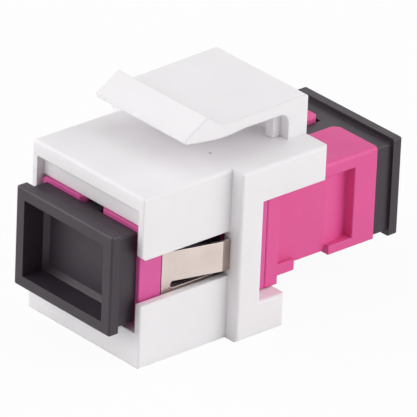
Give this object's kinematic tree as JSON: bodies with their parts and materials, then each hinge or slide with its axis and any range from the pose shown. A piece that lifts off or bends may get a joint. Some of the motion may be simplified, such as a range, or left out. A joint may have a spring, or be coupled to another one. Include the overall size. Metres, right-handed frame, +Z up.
{
  "type": "sc fibre adapter",
  "caption": "SC simplex fibre adapter snapped into a white keystone holder, with a sprung top latch, a steel retaining clip and a pull-out dust cap at each end.",
  "frame": {"origin": "on the flat bottom, under the middle of the whole module, half-way between the two ports", "axes": "+Y along the fibre axis towards the rear port, +Z up through the latch lever, +X to the right seen from the front"},
  "size_m": [0.0172, 0.0326, 0.0206],
  "materials": {
    "holder_plastic": "white moulded ABS, fine satin",
    "adapter_plastic": "magenta moulded plastic, satin",
    "insert_plastic": "natural moulded plastic, satin",
    "sleeve_ceramic": "ground zirconia",
    "clip_steel": "rolled stainless spring sheet",
    "cap_plastic": "black soft polyethylene, satin"
  },
  "bodies": {
    "module": {"keystone_holder": "holder_plastic", "front_adapter_half": "adapter_plastic", "rear_adapter_half": "adapter_plastic", "front_latch_insert": "insert_plastic", "rear_latch_insert": "insert_plastic", "alignment_sleeve": "sleeve_ceramic", "spring_clip": "clip_steel"},
    "latch": {"latch_lever": "holder_plastic"},
    "front_cap": {"front_dust_cap": "cap_plastic"},
    "rear_cap": {"rear_dust_cap": "cap_plastic"}
  },
  "joints": [
    {"name": "latch_flex", "type": "hinge", "parent": "module", "child": "latch", "pos_m": [0, 0.00336, 0.0159], "axis": [1, 0, 0], "range_deg": [0, 9], "stiffness_Nm_per_rad": 0.4},
    {"name": "front_cap_pull", "type": "slide", "parent": "module", "child": "front_cap", "axis": [0, -1, 0], "range_m": [0, 0.012]},
    {"name": "rear_cap_pull", "type": "slide", "parent": "module", "child": "rear_cap", "axis": [0, 1, 0], "range_m": [0, 0.012]}
  ]
}
